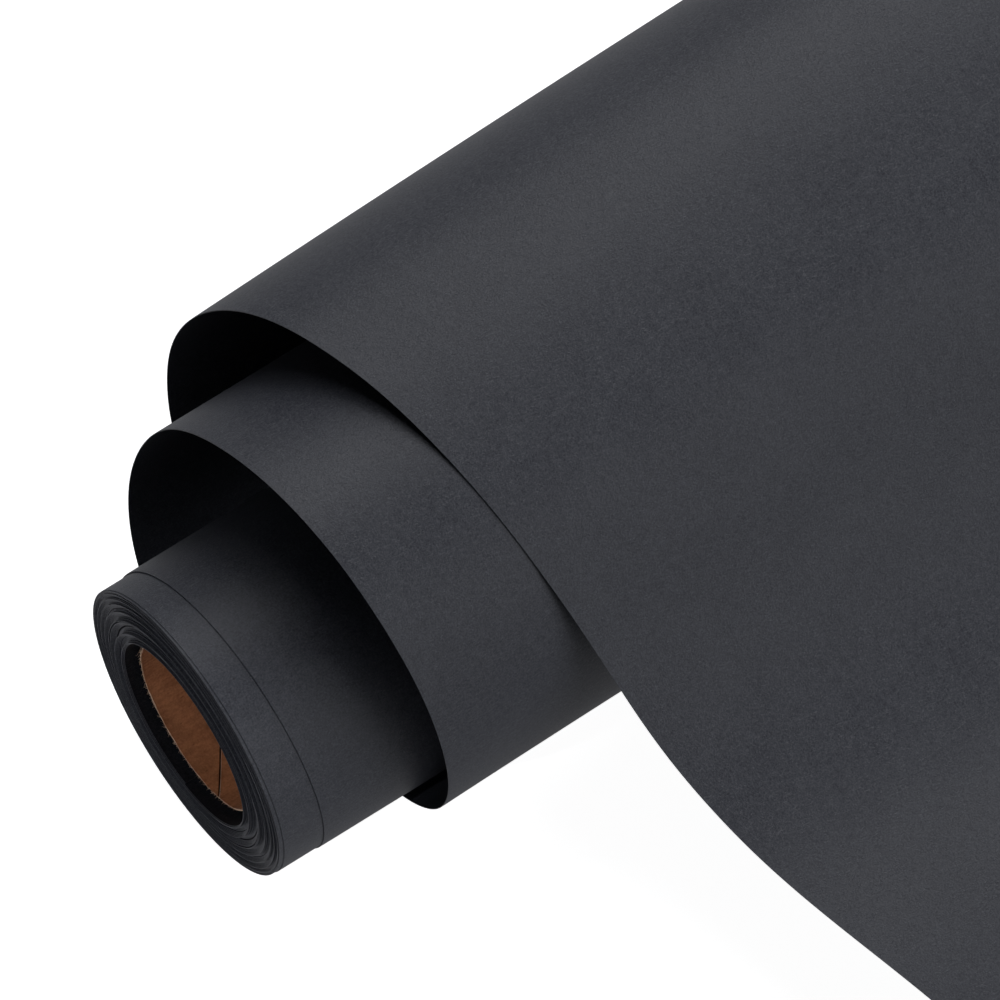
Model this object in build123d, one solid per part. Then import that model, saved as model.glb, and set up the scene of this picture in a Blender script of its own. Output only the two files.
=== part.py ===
"""Backdrop paper roll: matt black seamless paper on a spiral-wound cardboard core.

Frame: the origin is on the core's axis at the middle of its length. +Y runs along the core,
away from the end that the loose turns have left bare. +X points forward, the way the free
sheet runs out, and +Z is up. All lengths are in millimetres.

The paper is one web. It is wound tight on the core, then leaves the roll in two loose turns,
and runs out above the table as the free sheet, whose cut end rests on the table. It is cut
here into bands and stretches:
  core plies             glued tubes of kraft board, one inside the other
  winding bands          groups of tight turns, each slid a little along the core
  last_turn              the outermost tight turn, in which the wound roll can turn
  lift_off ... free_sheet  the loose web, from the bottom of the roll to the cut end
"""

import math
import os

from build123d import *

# Web and core
WEB_WIDTH = 1350.0
CORE_BORE_RADIUS = 25.0
PLY_THICKNESS = 0.5
PLY_NAMES = ("core_liner_ply", "core_inner_ply", "core_outer_ply", "core_cover_ply")
PLY_STAGGER = 0.3  # each ply ends this much further out than the one inside it
CORE_END = -WEB_WIDTH / 2  # near end of the innermost ply

# Starter tape, the strips that hold the inner end of the web to the core
TAPE_THICKNESS = 0.1
TAPE_WIDTH = 50.0
TAPE_ARC = 60.0
TAPE_PLACES = (-500.0, 0.0, 500.0)

# Winding bands
TIGHT_RADIUS = 44.0  # outside of the last tight turn
FIRST_TURN_RADIUS = CORE_BORE_RADIUS + len(PLY_NAMES) * PLY_THICKNESS + 2 * TAPE_THICKNESS
BAND_COUNT = 6
SLIP_GAP = 0.4  # clear of the next band where two bodies slide or turn
GLUE_GAP = 0.05  # between bands that stay together
GAPS_OUTSIDE = (GLUE_GAP, SLIP_GAP, GLUE_GAP, SLIP_GAP, GLUE_GAP, SLIP_GAP)
RIM_END = -WEB_WIDTH / 2 - 3.2  # near rim of the tight roll, as if its end were flat
BAND_ENDS = (-1.0, -1.05, -0.6, -0.2, 0.1, 0.4)  # how far each band is set back from the rim
BAND_ROUNDING = 0.4

# Loose web
SHEET = 0.8  # thickness of the solids that stand for the loose paper
LAYER_GAP = 0.2  # between two flat layers that lie on each other
RIDE_GAP = 0.7  # between the middle turn and the outer turn that lies on it
MIDDLE_X = -3.7  # where the middle turn stands on the table
MIDDLE_RADIUS = 61.8
OUTER_X = -11.7  # where the outer turn stands on the table
OUTER_RADIUS = 71.3  # of its back; its front lies on the middle turn
SHOULDER_RADIUS = 45.0  # the bend at its top back
RIDE_START = 70.0  # where it comes down on the middle turn
RIDE_END = 50.0  # and where it leaves it again
SLOPE_RADIUS = 200.0  # of the wide arc that runs on from there down to
SLOPE_END = 42.0  # the steepest part of the web in front of the roll
BEND_RADIUS = 117.0  # the hollow bend that brings the web nearly level
BEND_END = 87.0
LEVEL_RUN = 35.0  # straight part of the free sheet
CURL_RADIUS = 300.0  # of the part that curls down to the cut end
TURN_SPLIT = 156.2  # the turns are cut at this angle from +X and opposite it
HINGE_GAP = 0.3  # between the front bend and the free sheet

# How far the near edge of the web stands in from the rim, at the ends of each stretch
EDGE_LAST_TURN = (9.5, 14.8)
EDGE_LIFT_OFF = (16.5, 32.5)
EDGE_MIDDLE = (32.5, 45.8)
EDGE_OUTER_BACK = (45.8, 56.2)
EDGE_OUTER_FRONT = (56.2, 89.9)
EDGE_FRONT_BEND = (89.9, 104.6)
EDGE_FREE = (104.6, 153.6)

TIGHT_FLOOR = -TIGHT_RADIUS - SHEET / 2  # middle of the layer just under the roll
LOW_FLOOR = TIGHT_FLOOR - SHEET - LAYER_GAP  # middle of the layer on the table
REACH = 400.0  # larger than the whole cross-section
FULL_TURN = 360.0


def direction(angle):
    """Unit vector at this angle from +X in the cross-section."""
    return Vector(math.cos(math.radians(angle)), math.sin(math.radians(angle)))


def tube(inner, outer, near_end):
    """Plain tube along Y, one web wide."""
    ring = Plane.XZ * (Circle(outer) - Circle(inner))
    return Pos(0, near_end, 0) * extrude(ring, -WEB_WIDTH)


def arc_edges(centre, radius, start, end):
    """The two sides of a band that bends round centre, from one angle to another."""
    sides = []
    for offset in (SHEET / 2, -SHEET / 2):
        edge = CenterArc((centre.X, centre.Y), radius + offset, start, end - start)
        sides.append(edge)
    return sides


def line_edges(start, end):
    """The two sides of a band that runs straight from start to end."""
    along = (end - start).normalized()
    aside = Vector(-along.Y, along.X) * (SHEET / 2)
    return [Line(start + aside, end + aside), Line(start - aside, end - aside)]


def band_face(pieces):
    """Face of a bent band, joined from the quadrilaterals under its pieces."""
    face = None
    for first, second in pieces:
        caps = [Line(first @ 0, second @ 0), Line(first @ 1, second @ 1)]
        part = make_face([first, second] + caps)
        face = part if face is None else face + part
    return face


def askew(profile, edge, heading):
    """Solid over a cross-section, one web wide, with both side edges cut askew.

    edge holds how far the near edge stands in from the rim at the two ends of the stretch,
    and heading the two points that it runs between, in the cross-section.
    """
    run = heading[1] - heading[0]
    start = Vector(heading[0].X, RIM_END, heading[0].Y)
    cut_plane = Plane(start, x_dir=(run.X, 0, run.Y), z_dir=(-run.Y, 0, run.X))
    slope = (edge[1] - edge[0]) / run.length
    near = [(along, edge[0] + slope * along) for along in (-REACH, REACH)]
    far = [(along, stand_in + WEB_WIDTH) for along, stand_in in reversed(near)]
    block = extrude(cut_plane * Polygon(*near, *far, align=None), REACH, both=True)
    blank = Pos(0, RIM_END - WEB_WIDTH, 0) * extrude(Plane.XZ * profile, -3 * WEB_WIDTH)
    return blank & block


def stretch(pieces, edge, heading):
    """Solid of one stretch of the loose web."""
    return askew(band_face(pieces), edge, heading)


def rim_point(centre, radius, angle):
    """Point of a round turn at this angle."""
    return centre + direction(angle) * radius


def joining_arc(first_centre, first_radius, last_centre, last_radius, end):
    """Centre, radius and start angle of the wide arc that joins two arcs smoothly.

    It leaves the first arc where the two touch, and meets the last at the angle end.
    """
    apart = first_centre - last_centre
    less = last_radius - first_radius
    back = (apart.length**2 - less**2) / (2 * (less - apart.dot(direction(end))))
    centre = last_centre - direction(end) * back
    start = first_centre - centre
    return centre, last_radius + back, math.degrees(math.atan2(start.Y, start.X))


def core_plies():
    """Four glued plies of kraft board, ending in shallow steps."""
    plies = {}
    for number, name in enumerate(PLY_NAMES):
        inner = CORE_BORE_RADIUS + number * PLY_THICKNESS
        plies[name] = tube(inner, inner + PLY_THICKNESS, CORE_END - number * PLY_STAGGER)
    return plies


def starter_tape():
    """Strips of tape round part of the core, under the first turn."""
    inner = CORE_BORE_RADIUS + len(PLY_NAMES) * PLY_THICKNESS + TAPE_THICKNESS / 4
    outer = inner + TAPE_THICKNESS
    rounds = [CenterArc((0, 0), radius, 0, TAPE_ARC) for radius in (inner, outer)]
    sides = [Line(rounds[0] @ end, rounds[1] @ end) for end in (0, 1)]
    profile = Plane.XZ * make_face(rounds + sides)
    strip = extrude(profile, TAPE_WIDTH / 2, both=True)
    return Compound([Pos(0, place, 0) * strip for place in TAPE_PLACES])


def winding_bands():
    """Groups of tight turns, each a thick tube slid a little along the core."""
    outside = TIGHT_RADIUS - SHEET
    depth = (outside - FIRST_TURN_RADIUS) / BAND_COUNT
    bands = {}
    for number in range(BAND_COUNT):
        inner = FIRST_TURN_RADIUS + number * depth
        outer = inner + depth - GAPS_OUTSIDE[number]
        band = tube(inner, outer, RIM_END + BAND_ENDS[number])
        end_edges = band.edges().filter_by(GeomType.CIRCLE)
        bands[f"winding_band_{number + 1}"] = fillet(end_edges, BAND_ROUNDING)
    return bands


def last_turn():
    """The outermost tight turn, its near edge askew."""
    ring = Circle(TIGHT_RADIUS) - Circle(TIGHT_RADIUS - SHEET)
    top_back = rim_point(Vector(0, 0), TIGHT_RADIUS, TURN_SPLIT)
    return askew(ring, EDGE_LAST_TURN, (top_back, -top_back))


def loose_web():
    """The loose stretches, in order from the roll to the cut end."""
    low_split = TURN_SPLIT - 180
    back_split = TURN_SPLIT - FULL_TURN
    top_z = LOW_FLOOR + 2 * MIDDLE_RADIUS
    back_radius = (top_z - TIGHT_FLOOR) / 2
    back_centre = Vector(MIDDLE_X, TIGHT_FLOOR + back_radius)
    front_centre = Vector(MIDDLE_X, top_z - MIDDLE_RADIUS)
    outer_centre = Vector(OUTER_X, LOW_FLOOR + OUTER_RADIUS)

    web = {}
    web["lift_off"] = stretch(
        [
            line_edges(Vector(0, TIGHT_FLOOR), Vector(MIDDLE_X, TIGHT_FLOOR)),
            arc_edges(back_centre, back_radius, -90, back_split),
        ],
        EDGE_LIFT_OFF,
        (Vector(0, TIGHT_FLOOR), rim_point(back_centre, back_radius, back_split)),
    )
    web["middle_turn_front"] = stretch(
        [
            arc_edges(back_centre, back_radius, TURN_SPLIT, 90),
            arc_edges(front_centre, MIDDLE_RADIUS, 90, low_split),
        ],
        EDGE_MIDDLE,
        (
            rim_point(back_centre, back_radius, TURN_SPLIT),
            rim_point(front_centre, MIDDLE_RADIUS, low_split),
        ),
    )
    web["outer_turn_back"] = stretch(
        [
            arc_edges(front_centre, MIDDLE_RADIUS, low_split, -90),
            line_edges(Vector(MIDDLE_X, LOW_FLOOR), Vector(OUTER_X, LOW_FLOOR)),
            arc_edges(outer_centre, OUTER_RADIUS, -90, back_split),
        ],
        EDGE_OUTER_BACK,
        (
            rim_point(front_centre, MIDDLE_RADIUS, low_split),
            rim_point(outer_centre, OUTER_RADIUS, back_split),
        ),
    )
    shoulder_start = rim_point(outer_centre, OUTER_RADIUS, TURN_SPLIT)
    shoulder_centre = shoulder_start - direction(TURN_SPLIT) * SHOULDER_RADIUS
    ride_radius = MIDDLE_RADIUS + SHEET + RIDE_GAP
    wide_centre, wide_radius, wide_start = joining_arc(
        shoulder_centre, SHOULDER_RADIUS, front_centre, ride_radius, RIDE_START
    )
    slope_centre = front_centre - direction(RIDE_END) * (SLOPE_RADIUS - ride_radius)
    slope_end = rim_point(slope_centre, SLOPE_RADIUS, SLOPE_END)
    web["outer_turn_front"] = stretch(
        [
            arc_edges(shoulder_centre, SHOULDER_RADIUS, TURN_SPLIT, wide_start),
            arc_edges(wide_centre, wide_radius, wide_start, RIDE_START),
            arc_edges(front_centre, ride_radius, RIDE_START, RIDE_END),
            arc_edges(slope_centre, SLOPE_RADIUS, RIDE_END, SLOPE_END),
        ],
        EDGE_OUTER_FRONT,
        (shoulder_start, slope_end),
    )
    bend_centre = rim_point(slope_end, BEND_RADIUS, SLOPE_END)
    bend_end = rim_point(bend_centre, BEND_RADIUS, BEND_END + 180)
    web["front_bend"] = stretch(
        [arc_edges(bend_centre, BEND_RADIUS, SLOPE_END + 180, BEND_END + 180)],
        EDGE_FRONT_BEND,
        (slope_end, bend_end),
    )
    onwards = direction(BEND_END - 90)
    sheet_start = bend_end + onwards * HINGE_GAP
    curl_start = sheet_start + onwards * LEVEL_RUN
    curl_centre = rim_point(curl_start, CURL_RADIUS, BEND_END + 180)
    fall = (curl_centre.Y - LOW_FLOOR) / CURL_RADIUS
    curl_end = math.degrees(math.asin(-fall))
    cut_end = rim_point(curl_centre, CURL_RADIUS, curl_end)
    web["free_sheet"] = stretch(
        [
            line_edges(sheet_start, curl_start),
            arc_edges(curl_centre, CURL_RADIUS, BEND_END, curl_end),
        ],
        EDGE_FREE,
        (sheet_start, cut_end),
    )
    print(f"bend end x {bend_end.X:.3f} z {bend_end.Y:.3f}, cut end x {cut_end.X:.3f}")
    return web


def main():
    os.makedirs("parts", exist_ok=True)
    nodes = core_plies()
    nodes["starter_tape"] = starter_tape()
    nodes.update(winding_bands())
    nodes["last_turn"] = last_turn()
    nodes.update(loose_web())
    for name, shape in nodes.items():
        export_step(shape, f"parts/{name}.step")
        box = shape.bounding_box()
        print(f"{name}: x {box.min.X:.2f} {box.max.X:.2f}, y {box.min.Y:.2f} {box.max.Y:.2f},"
              f" z {box.min.Z:.2f} {box.max.Z:.2f}, volume {shape.volume:.0f}")


main()
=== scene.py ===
"""Backdrop paper roll: matt black paper on a spiral-wound kraft core, in metres.

The axis of the core is Y, with the bare near end at low Y; X points along the free sheet, and
Z is up. Cross-sections are worked out in millimetres as (X, Z) points, along the paper from
the inside of the roll to the cut end, which is clockwise seen from the near end.
"""
import math
import random

import bpy
import numpy as np
from mathutils import Matrix, Vector

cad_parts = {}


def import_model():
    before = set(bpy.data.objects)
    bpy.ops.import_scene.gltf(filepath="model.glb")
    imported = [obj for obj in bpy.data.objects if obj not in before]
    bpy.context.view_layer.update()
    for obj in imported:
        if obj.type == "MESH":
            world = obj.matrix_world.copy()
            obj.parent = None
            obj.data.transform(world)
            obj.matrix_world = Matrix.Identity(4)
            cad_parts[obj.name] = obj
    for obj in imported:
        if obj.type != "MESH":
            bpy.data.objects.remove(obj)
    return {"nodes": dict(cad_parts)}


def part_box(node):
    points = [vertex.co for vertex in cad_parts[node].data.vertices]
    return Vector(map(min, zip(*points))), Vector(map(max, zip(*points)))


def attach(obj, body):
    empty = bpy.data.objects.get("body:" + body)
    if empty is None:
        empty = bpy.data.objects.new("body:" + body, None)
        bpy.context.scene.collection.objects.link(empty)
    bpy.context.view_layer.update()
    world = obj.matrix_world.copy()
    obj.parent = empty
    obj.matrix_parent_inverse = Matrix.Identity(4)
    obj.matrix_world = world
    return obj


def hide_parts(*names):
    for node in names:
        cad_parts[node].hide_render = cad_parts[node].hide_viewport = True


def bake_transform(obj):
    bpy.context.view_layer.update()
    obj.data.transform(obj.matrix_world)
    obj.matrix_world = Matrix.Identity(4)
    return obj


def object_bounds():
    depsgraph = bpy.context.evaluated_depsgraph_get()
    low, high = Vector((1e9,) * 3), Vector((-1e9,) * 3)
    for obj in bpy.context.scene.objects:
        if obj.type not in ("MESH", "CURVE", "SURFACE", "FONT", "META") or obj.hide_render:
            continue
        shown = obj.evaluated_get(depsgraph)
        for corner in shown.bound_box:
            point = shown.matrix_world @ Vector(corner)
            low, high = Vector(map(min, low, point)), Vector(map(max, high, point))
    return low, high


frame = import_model()
cad_box = [list(corner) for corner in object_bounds()]

MM = 0.001


def node_box(name):
    """Low and high corner of a CAD node, in millimetres."""
    return [Vector(corner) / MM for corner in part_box(name)]


# ---------------------------------------------------------------- sizes from the CAD frame
core_low, core_high = node_box("core_liner_ply")
middle_high = node_box("middle_turn_front")[1]
back_low = node_box("outer_turn_back")[0]
last_high = node_box("last_turn")[1]

WEB_WIDTH = core_high.y - core_low.y
TABLE = cad_box[0][2] / MM
SOLID_HALF = 0.4  # half the thickness of the CAD's loose paper
TIGHT_RADIUS = last_high.z

# ---------------------------------------------------------------- the paper
PAPER = 0.22  # thickness of the loose web
WOUND_PAPER = 0.20  # thickness of a wound turn, pressed by its neighbours
RIM = core_low.y - 3.2  # the plane from which the stand-in of a near edge is measured
STEP = 2.5  # length of one facet along the web
COLUMN = 13.5  # length of one facet across the web


def arc(centre, radius, start, end, radius_end=None):
    """Points round centre from one angle to another, in degrees, without the last one."""
    radius_end = radius if radius_end is None else radius_end
    count = max(2, round(abs(math.radians(end - start)) * radius))
    share = np.arange(count) / count
    angle = np.radians(start + (end - start) * share)
    reach = radius + (radius_end - radius) * share * share * (3 - 2 * share)
    return np.column_stack(
        [centre[0] + reach * np.cos(angle), centre[1] + reach * np.sin(angle)]
    )


def line(start, end):
    """Points along a line, without the last one."""
    count = max(2, round(math.dist(start, end)))
    share = (np.arange(count) / count)[:, None]
    return np.array(start) * (1 - share) + np.array(end) * share


def lengths(points):
    """Distance along a row of points, from its start."""
    return np.concatenate([[0], np.cumsum(np.linalg.norm(np.diff(points, axis=0), axis=1))])


def even(points, step):
    """The same row of points at an even spacing near step."""
    along = lengths(points)
    wanted = np.linspace(0, along[-1], round(along[-1] / step) + 1)
    return np.column_stack([np.interp(wanted, along, points[:, i]) for i in (0, 1)])


def smoothed(values, sigma):
    """Gaussian mean of evenly spaced rows, which keeps straight ends straight."""
    reach = int(4 * sigma)
    weight = np.exp(-0.5 * (np.arange(-reach, reach + 1) / sigma) ** 2)
    weight /= weight.sum()
    head = 2 * values[0] - values[reach:0:-1]
    tail = 2 * values[-1] - values[-2 : -reach - 2 : -1]
    longer = np.concatenate([head, values, tail])
    if longer.ndim == 1:
        return np.convolve(longer, weight, "valid")
    return np.column_stack([np.convolve(c, weight, "valid") for c in longer.T])


def ramp(x, start, end):
    """Smooth step from 0 at start to 1 at end."""
    share = np.clip((np.asarray(x, float) - start) / (end - start), 0, 1)
    return share * share * (3 - 2 * share)


# The web's cross-section. Its layers on the table lie a paper's thickness above it.
LOW = TABLE + PAPER / 2
UNDER_ROLL = -TIGHT_RADIUS - PAPER
LAST_TURN = TIGHT_RADIUS - PAPER / 2
middle_top = middle_high.z - SOLID_HALF
middle_front_radius = (middle_top - LOW) / 2
middle_back_radius = (middle_top - UNDER_ROLL) / 2
middle_x = middle_high.x - SOLID_HALF - middle_front_radius
middle_back = (middle_x, middle_top - middle_back_radius)
middle_front = (middle_x, middle_top - middle_front_radius)
OUTER_RADIUS = 71.3  # of the back of the outer turn; its front lies on the middle turn
outer = (back_low.x + SOLID_HALF + OUTER_RADIUS, LOW + OUTER_RADIUS)

UPPER_BACK = 156.2  # angle of the point on each turn from which its edge is measured
SHOULDER_RADIUS = 45.0  # the bend at the top back of the outer turn
RIDE_RADIUS = middle_front_radius + 0.45  # of the outer turn where it lies on the middle turn
RIDE_START, RIDE_END = 70.0, 50.0  # angles between which the two touch
SLOPE_RADIUS, SLOPE_END = 200.0, 42.0  # the wide arc down from there, and its steepest part
BEND_RADIUS, BEND_END = 117.0, 87.0  # the hollow bend that brings the web nearly level
LEVEL_RUN = 35.0
CURL_RADIUS = 300.0  # of the part that curls down to the cut end


def way(angle):
    """Unit vector at this angle, in degrees, in the cross-section."""
    return np.array([math.cos(math.radians(angle)), math.sin(math.radians(angle))])


shoulder = np.array(outer) + way(UPPER_BACK) * (OUTER_RADIUS - SHOULDER_RADIUS)
# The wide arc that joins the shoulder to the riding stretch touches both.
apart = shoulder - np.array(middle_front)
less = RIDE_RADIUS - SHOULDER_RADIUS
back_off = (apart @ apart - less**2) / (2 * (less - apart @ way(RIDE_START)))
wide = np.array(middle_front) - way(RIDE_START) * back_off
wide_start = math.degrees(math.atan2(*(shoulder - wide)[::-1]))
slope = np.array(middle_front) - way(RIDE_END) * (SLOPE_RADIUS - RIDE_RADIUS)
bend = slope + way(SLOPE_END) * (SLOPE_RADIUS + BEND_RADIUS)
level_start = bend - way(BEND_END) * BEND_RADIUS
curl_start = level_start + way(BEND_END - 90) * LEVEL_RUN
curl = curl_start - way(BEND_END) * CURL_RADIUS
curl_end = math.degrees(math.asin((LOW - curl[1]) / CURL_RADIUS))
cut_end = curl + way(curl_end) * CURL_RADIUS

web_parts = [
    arc((0, 0), LAST_TURN, -90, -390),
    arc((0, 0), LAST_TURN, -390, -450, -UNDER_ROLL),
    line((0, UNDER_ROLL), (middle_x, UNDER_ROLL)),
    arc(middle_back, middle_back_radius, -90, UPPER_BACK - 360),
    arc(middle_back, middle_back_radius, UPPER_BACK, 90),
    arc(middle_front, middle_front_radius, 90, -90),
    line((middle_x, LOW), (outer[0], LOW)),
    arc(outer, OUTER_RADIUS, -90, UPPER_BACK - 360),
    arc(shoulder, SHOULDER_RADIUS, UPPER_BACK, wide_start),
    arc(wide, RIDE_RADIUS + back_off, wide_start, RIDE_START),
    arc(middle_front, RIDE_RADIUS, RIDE_START, RIDE_END),
    arc(slope, SLOPE_RADIUS, RIDE_END, SLOPE_END),
    arc(bend, BEND_RADIUS, SLOPE_END + 180, BEND_END + 180),
    line(level_start, curl_start),
    arc(curl, CURL_RADIUS, BEND_END, curl_end),
    cut_end[None],
]
starts = np.concatenate([[0], np.cumsum([len(p) for p in web_parts])])[:-1]
raw_web = np.concatenate(web_parts)
raw_along = lengths(raw_web)
LIFT, MIDDLE, OUTER, WIDE, LEVEL = 2, 4, 8, 9, 13  # places of these stretches in web_parts
lift_start, middle_start = raw_along[starts[LIFT]], raw_along[starts[MIDDLE]]
outer_start, level_along = raw_along[starts[OUTER]], raw_along[starts[LEVEL]]
wide_along, ride_along, ride_over = raw_along[starts[WIDE : WIDE + 3]]

# How far the near edge of the web stands in from the rim: (distance along the web, stand-in),
# with the distance from the start of the middle or the outer turn in the two lists.
degree = math.radians(1) * LAST_TURN
MIDDLE_EDGE = (
    (-59, 23.0), (-45, 24.7), (-30, 27.0), (0, 32.1), (18, 33.6), (56, 37.0), (88, 39.8),
    (132, 42.8), (206, 45.8),
)
OUTER_EDGE = (
    (-55, 49.6), (-25, 53.1), (0, 57.1), (30, 65.6), (45, 69.9), (60, 73.9), (75, 76.9),
    (90, 79.5), (120, 84.1), (135, 86.6), (150, 89.0), (165, 91.1), (180, 92.5), (195, 94.3),
    (210, 96.8), (225, 99.6), (255, 106.3), (283, 113.4), (443, 153.6),
)
web_edge = [
    (0, 4.8),
    ((270 - UPPER_BACK) * degree, 9.5),
    ((450 - UPPER_BACK) * degree, 14.8),
]
web_edge += [(middle_start + place, stand_in) for place, stand_in in MIDDLE_EDGE]
web_edge += [(outer_start + place, stand_in) for place, stand_in in OUTER_EDGE]


def web_sections():
    """The web's cross-section and its near edge: points, normals, distances and stand-ins."""
    fine = even(raw_web, 1.0)
    along = lengths(fine)
    softness = ramp(along, lift_start + 2, lift_start + 40)[:, None]
    fine = fine * (1 - softness) + smoothed(fine, 5.0) * softness
    points = even(fine, STEP)
    along = lengths(points)
    travel = np.gradient(points, axis=0)
    travel /= np.linalg.norm(travel, axis=1)[:, None]
    normals = np.column_stack([-travel[:, 1], travel[:, 0]])
    edge = smoothed(np.interp(along, *zip(*web_edge)), 7.0 / STEP)
    return points, normals, along, edge


def grid_mesh(name, outer_grid, inner_grid, materials, edge_slot=0):
    """Closed mesh between two grids of points in millimetres, one on each side of the paper."""
    rows, columns = outer_grid.shape[:2]
    count = rows * columns
    points = np.concatenate([outer_grid.reshape(-1, 3), inner_grid.reshape(-1, 3)]) * MM
    index = np.arange(count).reshape(rows, columns)

    def quads(a, b, c, d):
        return np.column_stack([a.ravel(), b.ravel(), c.ravel(), d.ravel()])

    outside = quads(index[:-1, :-1], index[1:, :-1], index[1:, 1:], index[:-1, 1:])
    inside = outside[:, ::-1] + count
    near, far = index[:, 0], index[:, -1]
    first, last = index[0], index[-1]
    rims = [
        quads(near[:-1], near[:-1] + count, near[1:] + count, near[1:]),
        quads(far[1:], far[1:] + count, far[:-1] + count, far[:-1]),
        quads(first[1:], first[1:] + count, first[:-1] + count, first[:-1]),
        quads(last[:-1], last[:-1] + count, last[1:] + count, last[1:]),
    ]
    faces = np.concatenate([outside, inside] + rims)
    mesh = bpy.data.meshes.new(name)
    mesh.from_pydata(points.tolist(), [], faces.tolist())
    for material in materials:
        mesh.materials.append(material)
    slots = np.zeros(len(faces), np.int32)
    slots[len(outside) * 2 :] = edge_slot
    mesh.polygons.foreach_set("material_index", slots)
    mesh.polygons.foreach_set("use_smooth", np.ones(len(faces), bool))
    mesh.set_sharp_from_angle(angle=math.radians(40))
    mesh.update()
    piece = bpy.data.objects.new(name, mesh)
    bpy.context.scene.collection.objects.link(piece)
    return piece


# ---------------------------------------------------------------- materials
class Nodes:
    """A material's node tree, with short ways to add to it."""

    def __init__(self, name, **shader):
        self.material = bpy.data.materials.new(name)
        self.material.use_nodes = True
        self.tree = self.material.node_tree
        self.shader = self.tree.nodes["Principled BSDF"]
        for socket, value in shader.items():
            self.shader.inputs[socket.replace("_", " ")].default_value = value
        self.place = self.add("ShaderNodeTexCoord").outputs["Object"]

    def add(self, kind, **settings):
        node = self.tree.nodes.new(kind)
        for key, value in settings.items():
            setattr(node, key, value)
        return node

    def link(self, value, socket):
        if hasattr(value, "links"):
            self.tree.links.new(value, socket)
        else:
            socket.default_value = value

    def stretched(self, *scale, turn=(0, 0, 0)):
        node = self.add("ShaderNodeMapping")
        self.link(self.place, node.inputs["Vector"])
        node.inputs["Scale"].default_value = scale
        node.inputs["Rotation"].default_value = turn
        return node.outputs["Vector"]

    def noise(self, scale, detail, roughness, place=None):
        node = self.add("ShaderNodeTexNoise")
        self.link(place or self.place, node.inputs["Vector"])
        node.inputs["Scale"].default_value = scale
        node.inputs["Detail"].default_value = detail
        node.inputs["Roughness"].default_value = roughness
        return node.outputs["Fac"]

    def cells(self, scale, place):
        node = self.add("ShaderNodeTexVoronoi")
        self.link(place, node.inputs["Vector"])
        node.inputs["Scale"].default_value = scale
        return node.outputs["Distance"]

    def math(self, operation, a, b, clamp=False):
        node = self.add("ShaderNodeMath", operation=operation, use_clamp=clamp)
        self.link(a, node.inputs[0])
        self.link(b, node.inputs[1])
        return node.outputs[0]

    def range(self, value, low, high, to_low=0.0, to_high=1.0):
        node = self.add("ShaderNodeMapRange")
        self.link(value, node.inputs["Value"])
        for socket, number in zip(("From Min", "From Max", "To Min", "To Max"),
                                  (low, high, to_low, to_high)):
            node.inputs[socket].default_value = number
        return node.outputs["Result"]

    def mix(self, share, a, b):
        node = self.add("ShaderNodeMix", data_type="RGBA")
        self.link(share, node.inputs["Factor"])
        self.link(a, node.inputs["A"])
        self.link(b, node.inputs["B"])
        return node.outputs["Result"]

    def bump(self, height, strength, distance):
        node = self.add("ShaderNodeBump")
        node.inputs["Strength"].default_value = strength
        node.inputs["Distance"].default_value = distance
        self.link(height, node.inputs["Height"])
        return node.outputs["Normal"]

    def finish(self, colour, roughness=None, normal=None):
        self.link(colour, self.shader.inputs["Base Color"])
        if roughness is not None:
            self.link(roughness, self.shader.inputs["Roughness"])
        if normal is not None:
            self.link(normal, self.shader.inputs["Normal"])
        return self.material


def grey(level, warmth=0.0):
    """Near-black paper colour; warmth shifts it from blue towards brown."""
    return (level * (0.95 + warmth), level, level * (1.27 - warmth), 1.0)


# The darkest and the lightest of the paper's mottling, as shares of its level.
MOTTLE_DARK, MOTTLE_LIGHT = (0.10, 0.12, 0.36), (1.83, 1.95, 2.31)
# The lay of its fibres: (rotation of the noise, its scale).
FIBRE_LAYS = (((0.2, 0.1, 0.5), 1.0), ((0.7, 0.9, 1.8), 1.13), ((1.3, 0.4, 2.6), 0.91))


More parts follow.
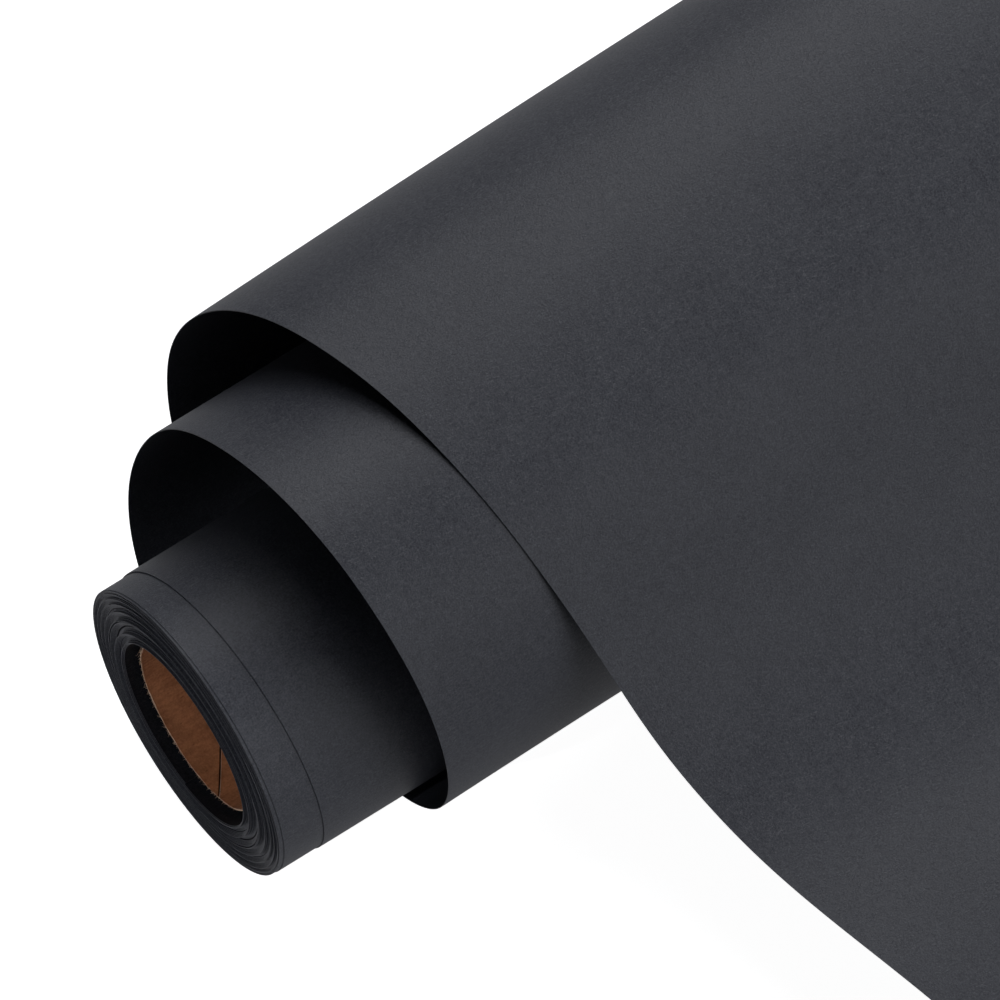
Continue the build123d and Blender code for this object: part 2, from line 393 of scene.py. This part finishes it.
def black_paper(name, level, gloss=0.5):
    """Matt black paper: cloudy formation, short fibres lying every way, and a few specks."""
    n = Nodes(name, IOR=1.45, Specular_IOR_Level=gloss)
    cloud = n.noise(55, 3, 0.55)
    mottle = n.noise(420, 3, 0.6)
    grain = n.noise(1900, 2, 0.6)
    fibres = []
    for turn, size in FIBRE_LAYS:
        lay = n.stretched(2300 * size, 620 * size, 2300 * size, turn=turn)
        fibres.append(n.range(n.noise(1.0, 2, 0.55, lay), 0.60, 0.76))
    fibre = n.math("MAXIMUM", n.math("MAXIMUM", fibres[0], fibres[1]), fibres[2])
    tone = n.math("ADD", n.range(cloud, 0.3, 0.7, -0.04, 0.04),
                  n.range(mottle, 0.3, 0.7, -0.09, 0.09))
    tone = n.math("ADD", tone, n.range(grain, 0.3, 0.7, -0.24, 0.24))
    tone = n.math("ADD", tone, n.range(fibre, 0.0, 1.0, -0.03, 0.26))
    dark, light = [tuple(level * share for share in shares) + (1.0,)
                   for shares in (MOTTLE_DARK, MOTTLE_LIGHT)]
    colour = n.mix(n.range(tone, -0.5, 0.5), dark, light)
    dust = n.range(n.cells(1.0, n.stretched(260, 260, 260)), 0.03, 0.07, 1.0, 0.0)
    rare = n.range(n.noise(70, 1, 0.5), 0.60, 0.66)
    share = n.math("MULTIPLY", n.math("MULTIPLY", dust, rare), 0.5)
    colour = n.mix(share, colour, grey(level * 3.2, 0.08))
    pit_place = n.stretched(190, 190, 190, turn=(0.4, 0.2, 0.9))
    pits = n.range(n.cells(1.0, pit_place), 0.03, 0.08, 1.0, 0.0)
    seldom = n.range(n.noise(48, 1, 0.5), 0.62, 0.68)
    share = n.math("MULTIPLY", n.math("MULTIPLY", pits, seldom), 0.8)
    colour = n.mix(share, colour, grey(level * 0.35))
    roughness = n.range(mottle, 0.25, 0.75, 0.47, 0.54)
    height = n.math("ADD", n.math("MULTIPLY", grain, 0.8), n.math("MULTIPLY", fibre, 0.6))
    height = n.math("ADD", height, n.math("MULTIPLY", mottle, 0.6))
    return n.finish(colour, roughness, n.bump(height, 0.75, 0.00012))


def kraft(name, light, dark, gloss):
    """Brown board: cloudy, with long fibres and darker flecks."""
    n = Nodes(name, IOR=1.45, Specular_IOR_Level=0.35)
    cloud = n.noise(90, 3, 0.6)
    lay = n.stretched(700, 260, 1500, turn=(0.3, 0.0, 0.6))
    fibre = n.range(n.noise(1.0, 3, 0.6, lay), 0.35, 0.7)
    grain = n.noise(1500, 2, 0.6)
    tone = n.math("ADD", n.range(cloud, 0.3, 0.7, 0.0, 0.5), n.range(fibre, 0.0, 1.0, 0.0, 0.3))
    tone = n.math("ADD", tone, n.range(grain, 0.3, 0.7, -0.1, 0.25), clamp=True)
    colour = n.mix(tone, dark, light)
    fleck_place = n.stretched(500, 180, 500, turn=(0.5, 0.3, 0.2))
    fleck = n.range(n.cells(1.0, fleck_place), 0.05, 0.12, 1.0, 0.0)
    fleck_colour = tuple(c * 0.45 for c in dark[:3]) + (1.0,)
    colour = n.mix(n.math("MULTIPLY", fleck, 0.5), colour, fleck_colour)
    roughness = n.range(cloud, 0.3, 0.7, gloss, gloss + 0.1)
    return n.finish(colour, roughness, n.bump(n.math("ADD", grain, fibre), 0.5, 0.0001))


PAPER_LEVEL = 0.049
web_paper = black_paper("black_paper", PAPER_LEVEL)
wound_edge = black_paper("black_paper_edge", PAPER_LEVEL)
# A darker, less glossy copy of the paper: painted shade for the innermost turn's inner side, where
# the core shades it.
wound_inside_painted_shade = black_paper("black_paper_painted_shade", PAPER_LEVEL * 0.3, 0.12)
kraft_board = kraft("kraft_board", (0.68, 0.31, 0.15, 1), (0.27, 0.105, 0.048, 1), 0.6)
kraft_cut = kraft("kraft_cut_edge", (0.80, 0.64, 0.50, 1), (0.46, 0.28, 0.18, 1), 0.85)
# Near-black board: painted shade for the outer plies' recessed cut ends and for the groove of the
# liner's seam.
kraft_painted_shade = kraft("kraft_cut_painted_shade", (0.018, 0.014, 0.013, 1), (0.008, 0.006, 0.006, 1), 0.95)


# ---------------------------------------------------------------- the loose web
points, normals, along, edge = web_sections()
across = np.linspace(0, WEB_WIDTH, round(WEB_WIDTH / COLUMN) + 1)

# The turns widen a little away from the near end, at the back and top of the outer turn.
WIDENING = 9.4
WIDENING_REACH = 250.0
widening_here = ramp(along, outer_start - 120, outer_start - 20) * ramp(
    along, ride_along - 10, outer_start + 25
)
widening = np.outer(widening_here, WIDENING * (1 - np.exp(-across / WIDENING_REACH)))

# Slow waves: (length along the web, drift across it, size, phase).
WAVES = ((97, 1900, 0.22, 0.4), (61, 1300, 0.10, 2.1), (143, 2700, 0.25, 4.4))
# They fade where the web is wound tight or lies under another layer.
free_here = (
    ramp(along, middle_start - 60, middle_start) * ramp(along, middle_start + 80, middle_start + 30)
    + ramp(along, outer_start - 80, outer_start - 20) * ramp(along, wide_along + 45, wide_along)
    + ramp(along, ride_over + 15, ride_over + 80)
)
waves = np.zeros((len(along), len(across)))
for length, drift, size, phase in WAVES:
    turn = 2 * math.pi * (along[:, None] / length + across[None] / drift) + phase
    waves += size * np.sin(turn)
waves *= (free_here * ramp(along, along[-1], along[-1] - 60))[:, None]

# The free sheet sags and rises a little along its width, but not at its cut end.
free_share = np.clip((along - level_along) / (along[-1] - level_along), 0, 1)
sway = np.outer(np.sin(math.pi * free_share) ** 2, 0.9 * np.sin(across / WEB_WIDTH * 5.0 + 0.7))

# The middle turn draws in a little at its lower front.
NARROWING = 2.2
NARROWING_REACH = 90.0
narrowing_here = ramp(along, middle_start + 110, middle_start + 175) * (
    1 - ramp(along, middle_start + 190, middle_start + 250)
)
narrowing = np.outer(narrowing_here, NARROWING * (1 - np.exp(-across / NARROWING_REACH)))

offset = widening + waves + sway - narrowing
middle = np.zeros((len(along), len(across), 3))
middle[:, :, 0] = points[:, 0, None] + normals[:, 0, None] * offset
middle[:, :, 2] = points[:, 1, None] + normals[:, 1, None] * offset
middle[:, :, 1] = RIM + edge[:, None] + across[None]
half = np.zeros_like(middle)
half[:, :, 0] = normals[:, 0, None] * PAPER / 2
half[:, :, 2] = normals[:, 1, None] * PAPER / 2
paper_web = grid_mesh("paper_web", middle + half, middle - half, [web_paper])
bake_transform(paper_web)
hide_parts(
    "last_turn", "lift_off", "middle_turn_front", "outer_turn_back",
    "outer_turn_front", "front_bend", "free_sheet",
)


# ---------------------------------------------------------------- the wound turns
TURNS = 66
FACETS = 120  # in one turn
START_RADIUS = core_high.z + 2.0 + 0.2 + WOUND_PAPER / 2  # over the board and the starter tape
END_RADIUS = TIGHT_RADIUS - PAPER - 0.04 - WOUND_PAPER / 2
GROUP_ENDS = (0, 20, 41, TURNS)

# Ridges of the near end, where some turns stand proud: (radius, stand-in from the rim).
RIDGES = ((27.2, -0.6), (28.4, -1.0), (31.2, -1.06), (34.4, -0.5), (37.0, -0.1), (39.2, 0.1),
          (41.0, 0.1), (42.6, 0.2), (43.4, 0.3))
# How much deeper the turns between two ridges stand in.
VALLEYS = (0.7, 1.7, 1.7, 1.4, 1.0, 0.8, 0.8, 0.3)
# Places where two turns don't quite touch, at both sides of the roll: (turn, width).
SLACKS = ((9.4, 0.18), (19.97, 0.42), (26.6, 0.34), (40.95, 0.16))
SLACK_ANGLE = UPPER_BACK


def near_stand_in(turn):
    """Stand-in of the wound turns' near edge, along the winding."""
    radius = START_RADIUS + (END_RADIUS - START_RADIUS) * turn / TURNS
    radii, ends = zip(*RIDGES)
    stand_in = np.interp(radius, radii, ends)
    for (low, _), (high, _), depth in zip(RIDGES, RIDGES[1:], VALLEYS):
        share = np.clip((radius - low) / (high - low), 0, 1)
        stand_in = stand_in + depth * np.sin(math.pi * share ** 0.55) ** 1.2
    last = ramp(turn, TURNS - 0.95, TURNS - 0.6) * 0.4
    last += np.interp(turn, (TURNS - 0.7, TURNS - 0.2, TURNS), (0.0, 1.1, 3.9))
    return stand_in + last


def wound_radius(turn, angle):
    """Radius of the winding, with the slack between some turns taken up on two sides."""
    lens = 0.5 + 0.5 * np.cos(2 * (angle - math.radians(SLACK_ANGLE)))
    slack = sum(width * ramp(turn, at - 0.25, at + 0.25) for at, width in SLACKS) * lens
    total = sum(width for _, width in SLACKS) * lens
    even_part = (END_RADIUS - START_RADIUS - total) * turn / TURNS
    return START_RADIUS + even_part + slack


def wound_group(name, first, last, body, nodes):
    """A stretch of the tight winding as one spiral strip."""
    turn = np.linspace(first, last, (last - first) * FACETS + 1)
    if first:
        turn = turn[1:]
    angle = -math.pi / 2 - 2 * math.pi * turn
    radius = wound_radius(turn, angle)
    rng = np.random.default_rng(first + 11)
    jitter = smoothed(rng.normal(0, 1, len(turn)), FACETS / 3)
    jitter = 0.012 * jitter / jitter.std()
    stand_in = near_stand_in(turn) + jitter
    strip = []
    for side in (WOUND_PAPER / 2, -WOUND_PAPER / 2):
        x = (radius + side) * np.cos(angle)
        z = (radius + side) * np.sin(angle)
        ends = [np.column_stack([x, RIM + stand_in + end, z]) for end in (0, WEB_WIDTH)]
        strip.append(np.stack(ends, axis=1))
    piece = grid_mesh(name, strip[0], strip[1], [web_paper, wound_edge, wound_inside_painted_shade], 1)
    # Painted shade: the innermost turn's inner side takes the darker copy of the paper, for the
    # core's shadow.
    if not first:  # the innermost turn's inner side, which is in the core's shadow
        inside = len(turn) - 1
        faces = piece.data.polygons
        for face in [*faces[inside : inside + FACETS], faces[4 * inside]]:
            face.material_index = 2
    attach(piece, body)
    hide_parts(*nodes)
    return piece


WOUND_GROUPS = (
    ("wound_turns_inner", "core_windings", ("winding_band_1", "winding_band_2")),
    ("wound_turns_middle", "middle_windings", ("winding_band_3", "winding_band_4")),
    ("wound_turns_outer", "outer_windings", ("winding_band_5", "winding_band_6")),
)
for (name, body, nodes), first, last in zip(WOUND_GROUPS, GROUP_ENDS, GROUP_ENDS[1:]):
    wound_group(name, first, last, body, nodes)


# ---------------------------------------------------------------- the core
BORE_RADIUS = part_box("core_liner_ply")[1].z / MM - 0.5
PLY = 0.5
PLY_COUNT = 4
PLY_STAGGER = 0.3
SEAM_TURNS = 12  # turns of the liner's seam in the length of the core
SEAM_ANGLE = -65.0  # where the seam starts at the near end
SEAM_GAP = 0.7  # width of the gap between the liner's edges
PLY_CUT_BACK = 2.8  # the outer plies end this much further in than the liner
SEAM_GROOVE, SEAM_LIP = (3, 4), 6  # columns of the tube's mesh
# The DARK slot holds the near-black board, which is painted shade.
BOARD, PALE, DARK = range(3)  # its material slots


def ragged(angle, seed, size):
    """Uneven cut: a few sines of high order round the core, the same every run."""
    rng = np.random.default_rng(seed)
    total = np.zeros_like(angle)
    for order in (3, 7, 13, 23, 41, 67, 97):
        total += rng.normal() / order ** 0.35 * np.sin(order * angle + rng.uniform(0, 6.28))
    return size * total / 2.0


def core_tube():
    """Spiral-wound board tube: seamed liner inside, stepped and ragged plies at its ends."""
    gap = math.degrees(SEAM_GAP / BORE_RADIUS) / 2
    seam_columns = np.array([-4 * gap, -2.2 * gap, -1.15 * gap, -0.9 * gap, 0, 0.9 * gap,
                             1.15 * gap, 2.2 * gap, 4 * gap])
    others = np.arange(4 * gap + 2.0, 360 - 4 * gap - 1.0, 2.4)
    columns = np.radians(np.concatenate([seam_columns, others]) + SEAM_ANGLE)
    sunk = np.zeros(len(columns))
    sunk[3:8] = (0.45, 0.45, 0.45, -0.10, -0.03)
    length = WEB_WIDTH
    inner_rows = np.concatenate([[0, 0.15, 0.4, 0.9], np.linspace(2, length - 2, 640),
                                 [length - 0.9, length - 0.4, length - 0.15, length]])
    rings = []
    twist_rate = -2 * math.pi * SEAM_TURNS / length
    for place in inner_rows:
        angle = columns + twist_rate * place
        near, far = math.exp(-place / 0.35), math.exp(-(length - place) / 0.35)
        y = core_low.y + place + near * ragged(angle, 5, 0.26) + far * ragged(angle, 6, 0.26)
        radius = BORE_RADIUS + sunk - 0.06 * (near + far)
        rings.append((radius, y, angle))
    inner_count = len(rings)
    for end in (1, 0):
        plies = range(PLY_COUNT) if end else reversed(range(PLY_COUNT))
        for ply in plies:
            inside, outside = BORE_RADIUS + PLY * ply, BORE_RADIUS + PLY * (ply + 1)
            radii = (inside + 0.06, outside - 0.03)
            cut_back = PLY_CUT_BACK if ply else 0
            for radius in radii if end else reversed(radii):
                y = (core_low.y + end * length - ply * PLY_STAGGER + (1 - 2 * end) * cut_back
                     + ragged(columns, 20 + 7 * ply + end, 0.09))
                rings.append((np.full(len(columns), radius), y, columns))
    count, size = len(rings), len(columns)
    verts = np.concatenate([
        np.column_stack([r * np.cos(a), y * np.ones(size), r * np.sin(a)]) for r, y, a in rings
    ])
    faces, slots = [], []
    for ring in range(count):
        after = (ring + 1) % count
        for column in range(size):
            beside = (column + 1) % size
            faces.append((ring * size + column, after * size + column,
                          after * size + beside, ring * size + beside))
        # The seam's groove and the outer plies' cut ends take the near-black board, as painted
        # shade.
        if ring < inner_count - 1:
            slots += [DARK if column in SEAM_GROOVE else PALE if column == SEAM_LIP else BOARD
                      for column in range(size)]
        elif ring == inner_count + 2 * PLY_COUNT - 1:
            slots += [BOARD] * size
        else:
            liner_end = ring in (inner_count - 1, inner_count, count - 2, count - 1)
            slots += [PALE if liner_end else DARK] * size
    mesh = bpy.data.meshes.new("core_board_tube")
    mesh.from_pydata((verts * MM).tolist(), [], faces)
    for material in (kraft_board, kraft_cut, kraft_painted_shade):
        mesh.materials.append(material)
    mesh.polygons.foreach_set("material_index", slots)
    mesh.polygons.foreach_set("use_smooth", np.ones(len(faces), bool))
    mesh.set_sharp_from_angle(angle=math.radians(35))
    mesh.update()
    piece = bpy.data.objects.new("core_board_tube", mesh)
    bpy.context.scene.collection.objects.link(piece)
    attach(piece, "core_windings")
    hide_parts("core_liner_ply", "core_inner_ply", "core_outer_ply", "core_cover_ply")
    return piece


def fibre(path, radius, verts, faces):
    """Adds a thin tapered three-sided thread along a few points."""
    base = len(verts)
    count = len(path)
    for i, point in enumerate(path):
        ahead = path[min(i + 1, count - 1)] - path[max(i - 1, 0)]
        side = ahead.cross(Vector((0.3, 0.5, 0.81))).normalized()
        up = ahead.cross(side).normalized()
        thin = radius * (1 - 0.75 * i / (count - 1))
        for k in range(3):
            a = 2 * math.pi * k / 3
            verts.append(point + side * (thin * math.cos(a)) + up * (thin * math.sin(a)))
    for i in range(count - 1):
        for k in range(3):
            a, b = base + 3 * i + k, base + 3 * i + (k + 1) % 3
            faces.append((a, b, b + 3, a + 3))
    top = base + 3 * (count - 1)
    faces.append((base + 2, base + 1, base))
    faces.append((top, top + 1, top + 2))


def core_fibres():
    """Torn fibres that stand out from the cut ends of the core's liner."""
    rng = random.Random(41)
    verts, faces = [], []
    for end, count in ((0, 600), (1, 160)):
        out = -1 if end == 0 else 1
        for _ in range(count):
            angle = rng.uniform(0, 2 * math.pi)
            radius = BORE_RADIUS + rng.choice((-0.05, 0.05, 0.2, 0.45))
            y = core_low.y + end * WEB_WIDTH + out * rng.uniform(-0.1, 0.12)
            along_y = out * rng.uniform(0.1, 0.8)
            inwards, around = rng.uniform(-0.5, 0.35), rng.gauss(0, 0.6)
            length = rng.uniform(0.3, 1.1)
            bend = rng.uniform(-0.5, 0.5)
            radial = Vector((math.cos(angle), 0, math.sin(angle)))
            tangent = Vector((-math.sin(angle), 0, math.cos(angle)))
            start = radial * radius + Vector((0, y, 0))
            heading = (radial * inwards + tangent * around + Vector((0, along_y, 0))).normalized()
            path = [start + heading * (length * t) + tangent * (bend * length * t * t)
                    for t in (0, 0.25, 0.5, 0.75, 1.0)]
            fibre([p * MM for p in path], rng.uniform(0.035, 0.10) * MM, verts, faces)
    curl = []  # one long strand, hanging loose from the liner's left side
    for i in range(14):
        t = i / 13
        angle = math.radians(158 + 16 * t)
        radius = BORE_RADIUS + 0.9 - 1.9 * math.sin(math.pi * t) * 0.6
        curl.append(Vector((radius * math.cos(angle), core_low.y - 0.3 - 1.6 * math.sin(2.6 * t),
                            radius * math.sin(angle))) * MM)
    fibre(curl, 0.05 * MM, verts, faces)
    mesh = bpy.data.meshes.new("core_fibres")
    mesh.from_pydata(verts, [], faces)
    mesh.materials.append(kraft_cut)
    mesh.update()
    piece = bpy.data.objects.new("core_fibres", mesh)
    bpy.context.scene.collection.objects.link(piece)
    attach(piece, "core_windings")
    return piece


core_tube()
core_fibres()


def tape_material():
    """Cream paper tape with faint creping across its length."""
    n = Nodes("crepe_tape", IOR=1.45, Specular_IOR_Level=0.4)
    crepe = n.noise(1.0, 3, 0.6, n.stretched(300, 2600, 300))
    cloud = n.noise(140, 2, 0.5)
    colour = n.mix(n.range(cloud, 0.3, 0.7), (0.55, 0.47, 0.30, 1), (0.66, 0.58, 0.40, 1))
    return n.finish(colour, n.range(crepe, 0.3, 0.7, 0.45, 0.6), n.bump(crepe, 0.4, 0.0001))


for slot in frame["nodes"]["starter_tape"].material_slots:
    slot.material = tape_material()


# ---------------------------------------------------------------- floor, light and camera
FLOOR_REACH = 120.0
FLOOR_GLOW, FLOOR_GLOW_SEEN = 0.27, 0.96  # emission for the lighting, and as the camera sees it


def floor():
    """Plain pale floor at the table's height, which lights the roll less than it looks."""
    mesh = bpy.data.meshes.new("floor")
    low, high = -FLOOR_REACH, FLOOR_REACH
    corners = [(low, low), (high, low), (high, high), (low, high)]
    mesh.from_pydata([(x, y, TABLE * MM) for x, y in corners], [], [(0, 1, 2, 3)])
    n = Nodes("floor_paint", Roughness=0.85, Specular_IOR_Level=0.2)
    n.shader.inputs["Emission Color"].default_value = (1, 1, 1, 1)
    seen = n.add("ShaderNodeLightPath").outputs["Is Camera Ray"]
    glow = n.range(seen, 0, 1, FLOOR_GLOW, FLOOR_GLOW_SEEN)
    n.link(glow, n.shader.inputs["Emission Strength"])
    pale = n.mix(n.noise(3.0, 2, 0.5), (0.84, 0.84, 0.845, 1), (0.87, 0.87, 0.875, 1))
    mesh.materials.append(n.finish(n.mix(seen, (0.35, 0.35, 0.355, 1), pale)))
    piece = bpy.data.objects.new("floor", mesh)
    bpy.context.scene.collection.objects.link(piece)


TARGET = Vector((-9.9, RIM + 108.1, 0)) * MM  # the point at the middle of the picture


SOFTBOX_DISTANCE = 3.5
# (name, heading in the XZ plane, tilt along +Y, width, height, watts); angles in degrees
SOFTBOXES = (
    ("front_softbox", 4.5, 27, 3.92, 2.34, 22),
    ("front_upper_softbox", 42.5, 35, 2.94, 2.34, 39.5),
    ("top_softbox", 109, 19, 2.94, 1.17, 27),
    ("top_back_softbox", 128, 27, 1.96, 1.17, 22.5),
    ("back_softbox", 156.5, 43, 1.96, 2.34, 25),
)


def softbox(name, heading, tilt, wide, tall, watts):
    """Area light that faces the middle of the picture."""
    heading, tilt = math.radians(heading), math.radians(tilt)
    towards = Vector((math.cos(heading) * math.cos(tilt), math.sin(tilt),
                      math.sin(heading) * math.cos(tilt)))
    data = bpy.data.lights.new(name, "AREA")
    data.shape = "RECTANGLE"
    data.size, data.size_y = wide, tall
    data.energy = watts
    lamp = bpy.data.objects.new(name, data)
    bpy.context.scene.collection.objects.link(lamp)
    lamp.location = TARGET + towards * SOFTBOX_DISTANCE
    along_axis = Vector((0, 1, 0)) - towards * towards.y
    up = towards.cross(along_axis).normalized()
    right = up.cross(towards).normalized()
    lamp.rotation_mode = "QUATERNION"
    lamp.rotation_quaternion = Matrix((right, up, towards)).transposed().to_quaternion()
    lamp.visible_camera = False


BORE_LAMP_DISTANCE = 2.6
BORE_LAMP_OFF_AXIS, BORE_LAMP_HEADING = 35, 74  # degrees
BORE_LAMP_WATTS = 400


def bore_lamp():
    """Narrow lamp that looks into the near end of the core."""
    data = bpy.data.lights.new("bore_lamp", "SPOT")
    data.spot_size = math.radians(1.0)
    data.spot_blend = 0.5
    data.shadow_soft_size = 0.05
    data.energy = BORE_LAMP_WATTS
    lamp = bpy.data.objects.new("bore_lamp", data)
    bpy.context.scene.collection.objects.link(lamp)
    off_axis, heading = math.radians(BORE_LAMP_OFF_AXIS), math.radians(BORE_LAMP_HEADING)
    towards = Vector((math.sin(off_axis) * math.cos(heading), -math.cos(off_axis),
                      math.sin(off_axis) * math.sin(heading)))
    lamp.location = Vector((0, core_low.y * MM, 0)) + towards * BORE_LAMP_DISTANCE
    lamp.rotation_mode = "QUATERNION"
    lamp.rotation_quaternion = (-towards).to_track_quat("-Z", "Y")
    lamp.visible_camera = False


WORLD_LIGHT, WORLD_SEEN = 0.02, 0.95  # strength for the lighting, and as the camera sees it


def world():
    """Near-black surroundings that the camera sees as white."""
    scene = bpy.context.scene
    scene.world = bpy.data.worlds.new("studio")
    scene.world.use_nodes = True
    tree = scene.world.node_tree
    back = tree.nodes["Background"]
    path = tree.nodes.new("ShaderNodeLightPath")
    strength = tree.nodes.new("ShaderNodeMapRange")
    strength.inputs["To Min"].default_value = WORLD_LIGHT
    strength.inputs["To Max"].default_value = WORLD_SEEN
    tree.links.new(path.outputs["Is Camera Ray"], strength.inputs["Value"])
    tree.links.new(strength.outputs["Result"], back.inputs["Strength"])
    back.inputs["Color"].default_value = (1, 1, 1, 1)


CAMERA_TURN, CAMERA_HEIGHT = 55.1, 61.8  # degrees: heading from -Y towards +X, and elevation
CAMERA_DISTANCE = 8.0
PICTURE_WIDTH = 0.26455  # metres at the target
SENSOR = 36  # millimetres


def camera():
    """Long lens at the photograph's viewing angle."""
    turn, height = math.radians(CAMERA_TURN), math.radians(CAMERA_HEIGHT)
    towards = Vector((math.sin(turn) * math.cos(height), -math.cos(turn) * math.cos(height),
                      math.sin(height)))
    data = bpy.data.cameras.new("camera")
    data.sensor_width = SENSOR
    data.lens = SENSOR * CAMERA_DISTANCE / PICTURE_WIDTH
    data.clip_start, data.clip_end = 0.1, 400
    cam = bpy.data.objects.new("camera", data)
    bpy.context.scene.collection.objects.link(cam)
    cam.location = TARGET + towards * CAMERA_DISTANCE
    cam.rotation_mode = "QUATERNION"
    cam.rotation_quaternion = (-towards).to_track_quat("-Z", "Y")
    bpy.context.scene.camera = cam


floor()
for settings in SOFTBOXES:
    softbox(*settings)
bore_lamp()
world()
camera()
bpy.context.scene.view_settings.view_transform = "Standard"
